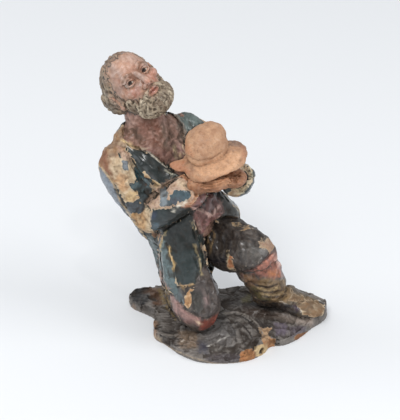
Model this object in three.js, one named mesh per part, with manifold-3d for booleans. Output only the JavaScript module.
// A bearded man kneeling on one knee and holding his hat in front of his chest, carved in one piece with the rough
// ground he kneels on. Millimetres, +Z up. The display side is -Y, the ground's long way is X, and the toe of the
// forward boot points along +X. The origin is on the flat underside, below the middle of the ground.
import * as THREE from "three";
import { mergeVertices } from "three/addons/utils/BufferGeometryUtils.js";
import Module from "manifold-3d";

const wasm = await Module();
wasm.setup();

// The pose: the places of the figure's joints, measured from the origin.
const POSE = {
  pelvis: [-22, 6, 54],
  waist: [-24, 4, 75],
  chest: [-37, 9, 97],
  neckBase: [-45, 11, 117],
  rightElbow: [-46, -7, 74.5],
  rightWrist: [-23, -21, 100],
  leftElbow: [4, 15, 87],
  leftWrist: [1, -10, 99.5],
  rightHip: [-23, -1, 56],
  rightKnee: [-18, -15, 23],
  rightAnkle: [-29, 17, 15],
  rightToe: [-31, 25, 7],
  leftHip: [-9, 10, 50],
  leftKnee: [14.5, -11, 54],
  leftAnkle: [22, 3, 20],
  leftHeel: [15, 7, 13],
  leftToe: [54, -1, 10.5],
  skull: [-54.5, 14.5, 147.5],
  hat: [-13, -11, 118.5],
};

// Which way each mass of the body faces: turned about +Z from straight at the display side towards +X.
const TORSO_TURN = 36;
const HIP_TURN = 45;

// The head, thrown back and over: the way the face looks and the way the crown points.
const FACE = new THREE.Vector3(0.24, -0.67, 0.7).normalize();
const CROWN = new THREE.Vector3(-0.71, 0.37, 0.6).normalize();
const HEAD_HEIGHT = 37;
const HEAD_WIDTH = 28;
const HEAD_DEPTH = 34;

// The hat: its crown leans towards the figure's right arm, and its brim droops.
const HAT_TILT = { left: 13, forward: 8 };
const HAT_CROWN_RADIUS = 12.8;
const HAT_CROWN_HEIGHT = 14.5;
const BRIM_RADIUS = 20;
const BRIM_THICKNESS = 3;
const BRIM_DROOP = 3;
const BRIM_SAG = 4.5;

// The ground: thick at the back, pared thin at the front, and a little lower along its rim.
const GROUND_BACK = 7;
const GROUND_FRONT = 3;
const RIM_DROP = 0.86;

// A hole for a nail, bored level into the front edge of the ground.
const NAIL_HOLE_RADIUS = 2;
const NAIL_HOLE_DEPTH = 9;
const NAIL_HOLE_MOUTH = [18, -32, 2.5];
const NAIL_HOLE_TURN = 37;

// How far the coat's surface stands outside the body.
const COAT_THICKNESS = 2;

const vector = (place) => new THREE.Vector3(...place);
const radians = THREE.MathUtils.degToRad;
// The direction of a mass's own left-hand side, for a turn about +Z.
const leftOf = (turn) => new THREE.Vector3(Math.cos(radians(turn)), Math.sin(radians(turn)), 0);

// A closed solid from a closed three.js geometry.
function solid(geometry) {
  const bare = geometry.clone();
  bare.deleteAttribute("normal");
  bare.deleteAttribute("uv");
  const merged = mergeVertices(bare, 1e-3);
  return new wasm.Manifold(
    new wasm.Mesh({
      numProp: 3,
      vertProperties: merged.attributes.position.array,
      triVerts: new Uint32Array(merged.index.array),
    }),
  );
}

// A form drawn over a spine, as clay is pressed over a wire. Each station is a place on the spine followed by the
// half-widths of the section there: across, along the given side direction, and deep, square to it. A fullness of 2
// makes an egg and 6 a rod with round ends. Angles run from the side direction (0) to the back (90 degrees).
// Where spread is given, the form covers only those angles, and its core reaches the spine elsewhere.
function form(stations, side, { fullness = 3, sides = 12, rings = 8, relief = null, spread = null } = {}) {
  const spine = new THREE.CatmullRomCurve3(stations.map(([at]) => vector(at)));
  const widths = new THREE.CatmullRomCurve3(stations.map(([, across, deep]) => new THREE.Vector3(across, deep, 0)));
  const ball = new THREE.SphereGeometry(1, sides, rings);
  const position = ball.attributes.position;
  for (let row = 0; row <= rings; row++) {
    const height = -Math.cos((Math.PI * row) / rings);
    const along = (height + 1) / 2;
    const swell = Math.max(0, 1 - Math.abs(height) ** fullness) ** (1 / fullness);
    const centre = spine.getPoint(along);
    const tangent = spine.getTangent(along);
    const width = widths.getPoint(along);
    const across = side.clone().addScaledVector(tangent, -side.dot(tangent)).normalize();
    const deep = new THREE.Vector3().crossVectors(tangent, across);
    const [from, to] = spread ? spread(along) : [0, 360];
    for (let column = 0; column <= sides; column++) {
      const step = column % sides;
      let angle;
      let reach = swell;
      if (spread) {
        const covered = sides - 3;
        angle = radians(to + (from - to) * Math.min(step / covered, 1));
        if (step > covered) {
          angle = radians(step === sides - 2 ? from : to);
          reach *= 0.3;
        }
      } else {
        angle = Math.PI - (2 * Math.PI * step) / sides;
      }
      const extra = relief ? relief(along, THREE.MathUtils.radToDeg(angle)) * swell : 0;
      const place = centre
        .clone()
        .addScaledVector(across, Math.cos(angle) * (width.x * reach + extra))
        .addScaledVector(deep, Math.sin(angle) * (width.y * reach + extra));
      position.setXYZ(row * (sides + 1) + column, place.x, place.y, place.z);
    }
  }
  return solid(ball);
}

// A ball stretched along three right-handed directions.
function lump(centre, [x, y, z], sides = 12, rings = 8) {
  const ball = new THREE.SphereGeometry(1, sides, rings);
  ball.applyMatrix4(new THREE.Matrix4().makeBasis(x, y, z).setPosition(centre));
  return solid(ball);
}

const union = (pieces) => pieces.reduce((all, piece) => all.add(piece));

// Chest, belly and hips, bare where the coat is open, the slope from the neck to both shoulders, and the wood that
// was left standing between the chest and the hat.
function trunk() {
  const body = form(
    [
      [POSE.pelvis, 17, 13],
      [POSE.waist, 15, 13],
      [POSE.chest, 19, 13],
      [POSE.neckBase, 18, 10.5],
    ],
    leftOf(TORSO_TURN),
    { fullness: 4, sides: 18, rings: 10 },
  );
  const shoulders = form(
    [
      [[-63, 1, 108], 8, 8],
      [[-56, 6, 115], 10, 10],
      [[-46, 12, 118], 11, 10],
      [[-35, 18, 116], 10, 10],
      [[-24, 24, 111], 8, 8],
    ],
    new THREE.Vector3(0, 0, 1),
    { fullness: 3, sides: 14, rings: 12 },
  );
  const bridge = form(
    [
      [[-30, 0, 90], 12, 9],
      [[-21, -6, 101], 12, 9],
      [[-12, -12, 112], 9, 8],
    ],
    leftOf(TORSO_TURN),
    { fullness: 4 },
  );
  return union([body, shoulders, bridge]);
}

// The coat on the shoulders, back and sides. Its front edges leave the chest bare in a V that closes at the waist.
function coatBody() {
  const front = 270;
  return form(
    [
      [POSE.pelvis, 17 + COAT_THICKNESS, 13 + COAT_THICKNESS],
      [POSE.waist, 15 + COAT_THICKNESS, 13 + COAT_THICKNESS],
      [POSE.chest, 19 + COAT_THICKNESS, 13 + COAT_THICKNESS],
      [POSE.neckBase, 19 + COAT_THICKNESS, 10.5 + COAT_THICKNESS],
    ],
    leftOf(TORSO_TURN),
    {
      fullness: 4,
      sides: 24,
      rings: 11,
      spread: (along) => [front - 360 + 8 + 40 * along, front - 8 - 46 * along],
    },
  );
}

// The coat's back, falling straight from the shoulders past the arm almost to the ground, with folds that deepen.
function coatBack() {
  const foldDepth = 1.1;
  return form(
    [
      [[-45, 13, 126], 10, 9],
      [[-44.5, 14, 108], 21, 13],
      [[-39, 13, 88], 24, 14],
      [[-27, 12, 64], 24, 14.5],
      [[-22, 12, 42], 19, 15],
      [[-24, 11, 19], 15, 14],
    ],
    leftOf(16),
    {
      fullness: 7,
      sides: 28,
      rings: 12,
      relief: (along, angle) => foldDepth * along * Math.cos(radians(angle * 8)),
    },
  );
}

// The coat's right front, a long panel over the thigh with a raised edge down each side.
function coatPanel() {
  const edgeHeight = 1.6;
  return form(
    [
      [[-27, -4, 84], 11, 9],
      [[-27.5, -4.5, 66], 12.5, 12],
      [[-26.5, -8, 48], 12.5, 13],
      [[-26, -11, 29], 12, 13],
    ],
    leftOf(14),
    {
      fullness: 9,
      sides: 24,
      rings: 10,
      relief: (along, angle) => edgeHeight * along * Math.cos(radians((angle - 270) * 6)),
    },
  );
}

// The coat's left front, laid back over the left hip and thigh.
function coatFlap() {
  return form(
    [
      [[-17, 10, 86], 10, 11],
      [[-13, 10, 74], 12, 12],
      [[-4.5, 8, 62], 12.5, 11],
      [[-1, 6, 53], 12, 9],
    ],
    leftOf(HIP_TURN),
    { fullness: 4, sides: 16, rings: 9, relief: (along, angle) => 0.8 * along * Math.cos(radians(angle * 5)) },
  );
}

// The turned-back edge of the coat's right front, a smooth band from the neck down to the cuff.
function lapel() {
  return form(
    [
      [[-58, 1, 119], 4.5, 3],
      [[-49, -3.5, 110], 6.5, 3],
      [[-38, -9, 101], 7, 3],
      [[-29, -13, 94], 6, 3],
    ],
    new THREE.Vector3(0.55, 0.35, 0.75).normalize(),
    { fullness: 4, sides: 12, rings: 8 },
  );
}

// The end of the waistcoat, a folded point that hangs out of the coat's front.
function waistcoatPoint() {
  return form(
    [
      [[-12, -3, 85], 9, 6],
      [[-11, -4.5, 75], 9, 6],
      [[-14.5, -5, 63], 3, 4.5],
    ],
    leftOf(20),
    { fullness: 2.4, sides: 12, rings: 8 },
  );
}

function legs() {
  const creases = (count, depth) => (along, angle) => depth * Math.cos(radians(angle * count)) * along;
  const rightThigh = form(
    [
      [POSE.rightHip, 13, 13],
      [[-20, -8, 40], 13, 12.5],
      [POSE.rightKnee, 14, 13],
      [[-14.5, -18, 9], 9, 7.5],
    ],
    leftOf(HIP_TURN),
    { fullness: 4, sides: 18, rings: 10, relief: creases(5, 0.5) },
  );
  const rightCalf = form(
    [
      [[-20, -8, 14], 9.5, 9],
      [[-26, 6, 15], 10, 9],
      [POSE.rightAnkle, 7, 7],
    ],
    leftOf(0),
  );
  const rightFoot = form(
    [
      [[-29, 14, 19], 7, 6],
      [[-30.5, 22, 12], 7.5, 5.5],
      [POSE.rightToe, 6.5, 4],
    ],
    leftOf(0),
  );
  const leftThigh = form(
    [
      [POSE.leftHip, 14, 14],
      [[3, 0, 51], 14, 14.5],
      [POSE.leftKnee, 11.5, 12],
      [[18.5, -12, 47], 11.5, 11],
    ],
    leftOf(HIP_TURN),
    { fullness: 4, sides: 18, rings: 11, relief: creases(6, 0.6) },
  );
  const leftCalf = form(
    [
      [[16.5, -10, 52], 11, 10.5],
      [[18.5, -4, 36], 11.5, 11],
      [POSE.leftAnkle, 10, 10],
      [POSE.leftHeel, 7, 7],
    ],
    leftOf(0),
    { fullness: 3.5, sides: 14, rings: 9 },
  );
  const leftBoot = form(
    [
      [POSE.leftHeel, 8, 7],
      [[27, 4, 15.6], 9, 7],
      [[40, 0.5, 12.5], 9.5, 5.2],
      [POSE.leftToe, 8, 4.5],
    ],
    new THREE.Vector3(0.3, 1, 0).normalize(),
    { fullness: 3.5, sides: 14, rings: 9 },
  );
  return union([rightThigh, rightCalf, rightFoot, leftThigh, leftCalf, leftBoot]);
}

function arms() {
  const upright = new THREE.Vector3(0, 0, 1);
  const folds = (depth) => (along, angle) => depth * Math.sin(Math.PI * along) * Math.cos(radians(angle * 4));
  const rightUpper = form(
    [
      [[-58, 5, 116], 8, 8],
      [[-61.5, -0.5, 103], 10.5, 10],
      [[-55.5, -4, 88], 9.5, 10],
      [POSE.rightElbow, 9.5, 9.5],
    ],
    leftOf(TORSO_TURN),
    { fullness: 4, relief: folds(0.7) },
  );
  const rightForearm = form(
    [
      [[-49, -6, 72], 9, 9],
      [[-36, -14, 84], 8.5, 8.5],
      [POSE.rightWrist, 9, 9],
    ],
    upright,
    { fullness: 7, relief: folds(0.6) },
  );
  const leftUpper = form(
    [
      [[-31, 23, 116], 9, 9],
      [[-22, 24, 109], 10.5, 10.5],
      [[-8, 21, 97], 10, 10],
      [POSE.leftElbow, 9, 9.5],
    ],
    leftOf(TORSO_TURN),
    { fullness: 4, relief: folds(0.7) },
  );
  const leftForearm = form(
    [
      [[5, 17, 86], 9, 9],
      [[5.5, 5, 92], 9.5, 9.5],
      [[3, -5, 97], 9.5, 9.5],
    ],
    upright,
    { fullness: 6, relief: folds(0.6) },
  );
  return union([rightUpper, rightForearm, leftUpper, leftForearm]);
}

function hands() {
  const rightHand = form(
    [
      [POSE.rightWrist, 7, 6],
      [[-13, -22, 106], 8, 5],
      [[-3, -22, 111], 6, 3.5],
    ],
    new THREE.Vector3(0, 1, 0.3).normalize(),
  );
  const leftHand = form(
    [
      [POSE.leftWrist, 7, 6],
      [[0, -15, 105], 7.5, 5.5],
      [[-4, -21, 111], 5.5, 4],
    ],
    new THREE.Vector3(1, 0, 0.3).normalize(),
  );
  return union([rightHand, leftHand]);
}

// A low domed hat with a wide brim, held crown up. The brim droops all round, and most towards the chest.
function hat() {
  const edge = BRIM_RADIUS - 1;
  const profile = new THREE.Path();
  profile.moveTo(0, -BRIM_THICKNESS);
  profile.lineTo(HAT_CROWN_RADIUS, -BRIM_THICKNESS - 0.5);
  profile.lineTo(edge, -BRIM_THICKNESS - BRIM_DROOP);
  profile.quadraticCurveTo(BRIM_RADIUS + 0.8, -BRIM_DROOP - BRIM_THICKNESS / 2, edge, -BRIM_DROOP);
  profile.lineTo(HAT_CROWN_RADIUS, 0);
  profile.bezierCurveTo(
    HAT_CROWN_RADIUS + 1,
    HAT_CROWN_HEIGHT * 0.8,
    HAT_CROWN_RADIUS * 0.75,
    HAT_CROWN_HEIGHT,
    0,
    HAT_CROWN_HEIGHT,
  );
  const turned = new THREE.LatheGeometry(profile.getPoints(4), 24);
  turned.rotateX(Math.PI / 2);
  const position = turned.attributes.position;
  for (let i = 0; i < position.count; i++) {
    const reach = Math.hypot(position.getX(i), position.getY(i));
    const outward = Math.max(0, (reach - HAT_CROWN_RADIUS) / (BRIM_RADIUS - HAT_CROWN_RADIUS));
    const chestward = reach > 0 ? Math.max(0, position.getY(i) / reach) : 0;
    position.setZ(i, position.getZ(i) - BRIM_SAG * outward * chestward);
  }
  turned.rotateY(radians(-HAT_TILT.left));
  turned.rotateX(radians(HAT_TILT.forward));
  turned.translate(...POSE.hat);
  return solid(turned);
}

// Skull, face, nose, ears, hair and beard, set out in the head's own directions: left, crown and face.
function head() {
  const left = new THREE.Vector3().crossVectors(CROWN, FACE).normalize();
  const up = new THREE.Vector3().crossVectors(FACE, left).normalize();
  const skullCentre = vector(POSE.skull);
  const at = (toLeft, upward, forward) =>
    skullCentre
      .clone()
      .addScaledVector(left, toLeft)
      .addScaledVector(up, upward)
      .addScaledVector(FACE, forward);
  const ball = (place, wide, tall, deep, sides, rings) =>
    lump(
      place,
      [left.clone().multiplyScalar(wide), up.clone().multiplyScalar(tall), FACE.clone().multiplyScalar(deep)],
      sides,
      rings,
    );
  const halfWidth = HEAD_WIDTH / 2;
  const cranium = ball(at(0, 1.5, 0), halfWidth, HEAD_HEIGHT * 0.43, HEAD_DEPTH / 2, 18, 12);
  const jaw = ball(at(0, -11, 5), halfWidth * 0.8, 10.5, 10.5, 14, 8);
  const locks = (count) => (along, angle) => 0.5 * Math.cos(radians(angle * count));
  const hair = form(
    [
      [at(0, -15, -6).toArray(), 12, 9],
      [at(0, -4, -4).toArray(), halfWidth + 1.2, 14],
      [at(0, 8, -3).toArray(), halfWidth + 1.2, 14],
      [at(0, 16.5, -2).toArray(), 11, 11],
    ],
    left,
    { fullness: 2.6, sides: 24, rings: 10, relief: locks(12) },
  );
  const beard = form(
    [
      [at(0, -8, 6).toArray(), halfWidth * 0.95, 9],
      [at(0, -17, 7.5).toArray(), halfWidth * 0.9, 9.5],
      [at(0, -26, 8.5).toArray(), halfWidth * 0.5, 6],
    ],
    left,
    { fullness: 2.6, sides: 20, rings: 10, relief: locks(10) },
  );
  const nose = ball(at(0, -4.2, 16.8), 2.1, 4.6, 2.6, 8, 6);
  const brow = ball(at(0, 1.2, 14.2), 8.5, 1.8, 2.6, 10, 6);
  const ears = [-1, 1].map((s) => ball(at(s * (halfWidth - 0.2), -6, -1), 2.4, 4.2, 3.2, 8, 6));
  const neck = form(
    [
      [POSE.neckBase, 12, 11],
      [[-48.5, 11, 128], 10.5, 10.5],
      [at(0, -8, -2).toArray(), 10, 10],
    ],
    leftOf(TORSO_TURN),
    { fullness: 5 },
  );
  return union([neck, cranium, jaw, hair, beard, nose, brow, ...ears]);
}

// How high the rough ground stands at a place: pared down towards the front, with a ledge under the forward boot,
// a rise before the knee, a lip left round the nail hole and shallow gouges across it.
function groundHeight(x, y) {
  const back = THREE.MathUtils.smoothstep(y, -42, 0);
  const left = THREE.MathUtils.smoothstep(-x, 20, 45);
  const slope = THREE.MathUtils.lerp(GROUND_FRONT, GROUND_BACK, Math.max(back, left));
  const ledgeFront = -2 - 0.14 * (x - 8);
  const ledge = 2.5 * THREE.MathUtils.smoothstep(y - ledgeFront, -1.5, 1.5) * THREE.MathUtils.smoothstep(x, -2, 8);
  const rise = 2.5 * Math.exp(-(((x + 4) / 16) ** 2) - ((y + 22) / 10) ** 2);
  const [mouthX, mouthY] = NAIL_HOLE_MOUTH;
  const lip = 4 * Math.exp(-(((x - mouthX) / 8) ** 2) - ((y - mouthY - 2) / 8) ** 2);
  const gouges = 0.35 * Math.sin(0.35 * x + 0.9 * y) * Math.cos(0.5 * x - 0.2 * y);
  return slope + ledge + rise + lip + gouges;
}

// The rough ground: a slab with a wandering edge and a nail hole through the front of it.
function ground() {
  const rim = [
    [-54, 12],
    [-44, 4],
    [-42, -3],
    [-43, -10],
    [-42, -17],
    [-36, -23],
    [-27, -33],
    [-16, -39.5],
    [-1, -40.5],
    [11, -37.5],
    [19, -31.5],
    [23, -25],
    [31, -23],
    [39, -17],
    [47, -7],
    [55, 2],
    [55, 9],
    [44, 18],
    [28, 24],
    [0, 24],
    [-24, 28],
    [-45, 27],
    [-54, 23],
    [-57, 17],
  ];
  const outline = new THREE.SplineCurve([...rim, rim[0]].map(([x, y]) => new THREE.Vector2(x, y)));
  const middle = new THREE.Vector2(-2, -6);
  const sides = 48;
  const reaches = [1, 0.96, 0.84, 0.68, 0.5, 0.3, 0];
  const section = [new THREE.Vector2(0, 0), new THREE.Vector2(1, 0), ...reaches.map((r) => new THREE.Vector2(r, 1))];
  const slab = new THREE.LatheGeometry(section, sides);
  const position = slab.attributes.position;
  for (let column = 0; column <= sides; column++) {
    const edge = outline.getPoint((column % sides) / sides);
    section.forEach((point, row) => {
      const spot = middle.clone().lerp(edge, point.x);
      const top = groundHeight(spot.x, spot.y) * (point.x === 1 ? RIM_DROP : 1);
      position.setXYZ(column * section.length + row, spot.x, spot.y, point.y * top);
    });
  }
  const nailHole = new THREE.CylinderGeometry(NAIL_HOLE_RADIUS, NAIL_HOLE_RADIUS, NAIL_HOLE_DEPTH * 2, 12)
    .rotateZ(radians(NAIL_HOLE_TURN))
    .translate(...NAIL_HOLE_MOUTH);
  return solid(slab).subtract(solid(nailHole));
}

const carving = union([
  trunk(),
  coatBody(),
  coatBack(),
  coatPanel(),
  coatFlap(),
  lapel(),
  waistcoatPoint(),
  legs(),
  arms(),
  hands(),
  hat(),
  head(),
  ground(),
]);

const cut = carving.getMesh();
const geometry = new THREE.BufferGeometry();
geometry.setAttribute("position", new THREE.BufferAttribute(cut.vertProperties, 3));
geometry.setIndex(new THREE.BufferAttribute(cut.triVerts, 1));
geometry.computeVertexNormals();

const paintedWood = new THREE.MeshStandardMaterial({ color: 0x4a443c, roughness: 0.55, metalness: 0 });
const figure = new THREE.Mesh(geometry, paintedWood);
figure.name = "kneeling_figure";

const group = new THREE.Group();
group.add(figure);
export default group;
